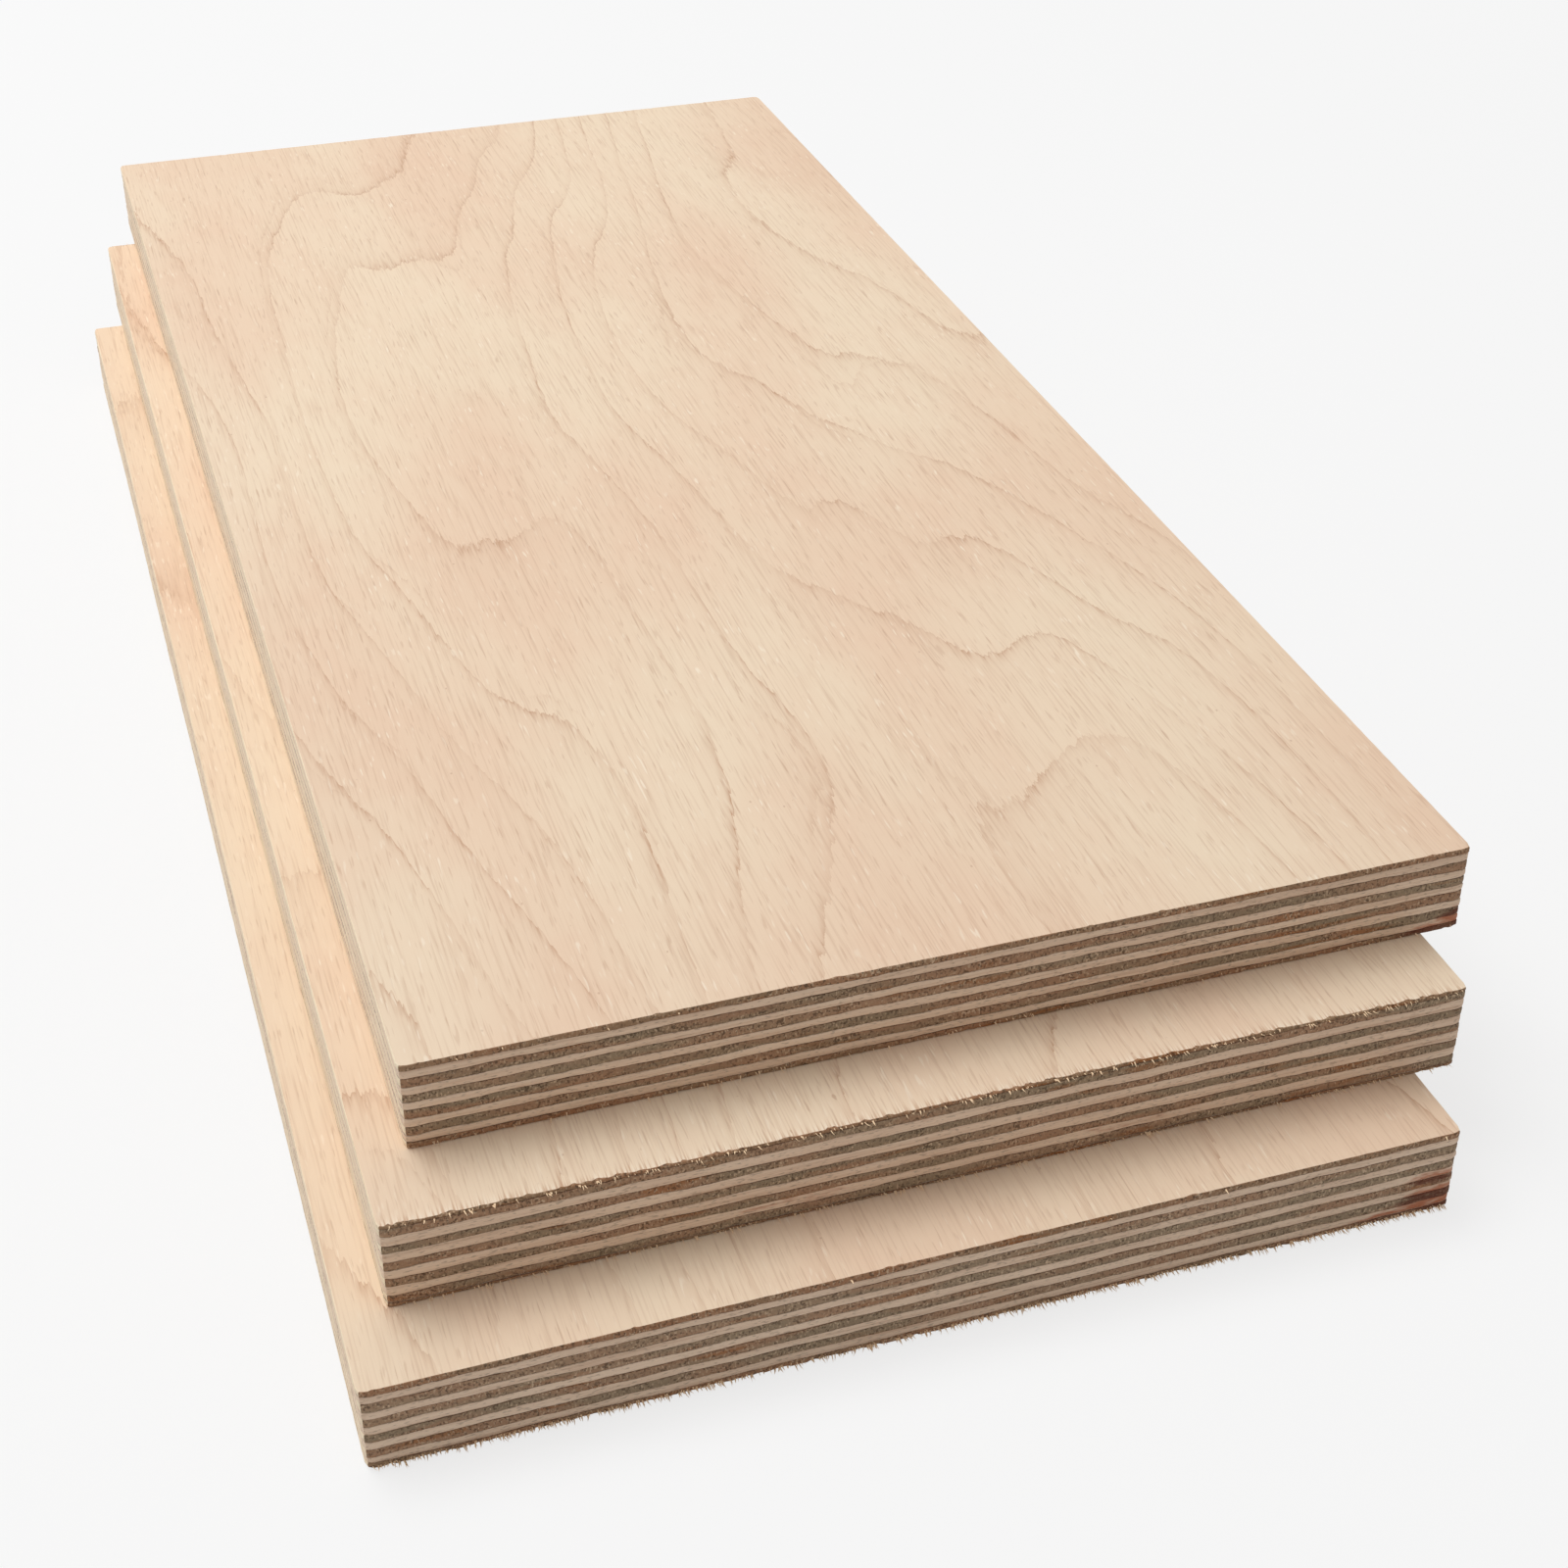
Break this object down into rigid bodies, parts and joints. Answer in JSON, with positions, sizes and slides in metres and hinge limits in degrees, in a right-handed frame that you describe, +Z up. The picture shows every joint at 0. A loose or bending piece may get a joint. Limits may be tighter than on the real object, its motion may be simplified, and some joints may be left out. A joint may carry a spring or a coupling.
{
  "type": "stack of plywood sheets",
  "caption": "Short plywood boards lying flat in a stepped stack, with cross-laid veneers showing on their sawn edges; loose sheet stock for joinery.",
  "frame": {"origin": "centre of the stack's outline, on the floor that the bottom board lies on", "axes": "+X across the boards, towards the side that the upper boards are set to; +Y along the boards and their face grain, away from the front ends; +Z up through the stack"},
  "size_m": [0.216, 0.469, 0.054],
  "materials": {
    "outer_veneer": "sanded bare veneer, matt",
    "long_veneer": "sawn edge, matt",
    "cross_veneer": "sawn edge, matt"
  },
  "bodies": {
    "root": {"bottom_board_back_veneer": "outer_veneer", "bottom_board_cross_veneer_1": "cross_veneer", "bottom_board_long_veneer_1": "long_veneer", "bottom_board_cross_veneer_2": "cross_veneer", "bottom_board_long_veneer_2": "long_veneer", "bottom_board_cross_veneer_3": "cross_veneer", "bottom_board_long_veneer_3": "long_veneer", "bottom_board_cross_veneer_4": "cross_veneer", "bottom_board_long_veneer_4": "long_veneer", "bottom_board_cross_veneer_5": "cross_veneer", "bottom_board_face_veneer": "outer_veneer", "middle_board_back_veneer": "outer_veneer", "middle_board_long_veneer_1": "long_veneer", "middle_board_cross_veneer_1": "cross_veneer", "middle_board_long_veneer_2": "long_veneer", "middle_board_cross_veneer_2": "cross_veneer", "middle_board_long_veneer_3": "long_veneer", "middle_board_cross_veneer_3": "cross_veneer", "middle_board_long_veneer_4": "long_veneer", "middle_board_cross_veneer_4": "cross_veneer", "middle_board_long_veneer_5": "long_veneer", "middle_board_face_veneer": "outer_veneer", "top_board_back_veneer": "outer_veneer", "top_board_cross_veneer_1": "cross_veneer", "top_board_long_veneer_1": "long_veneer", "top_board_cross_veneer_2": "cross_veneer", "top_board_long_veneer_2": "long_veneer", "top_board_cross_veneer_3": "cross_veneer", "top_board_long_veneer_3": "long_veneer", "top_board_cross_veneer_4": "cross_veneer", "top_board_long_veneer_4": "long_veneer", "top_board_cross_veneer_5": "cross_veneer", "top_board_face_veneer": "outer_veneer"}
  },
  "joints": []
}
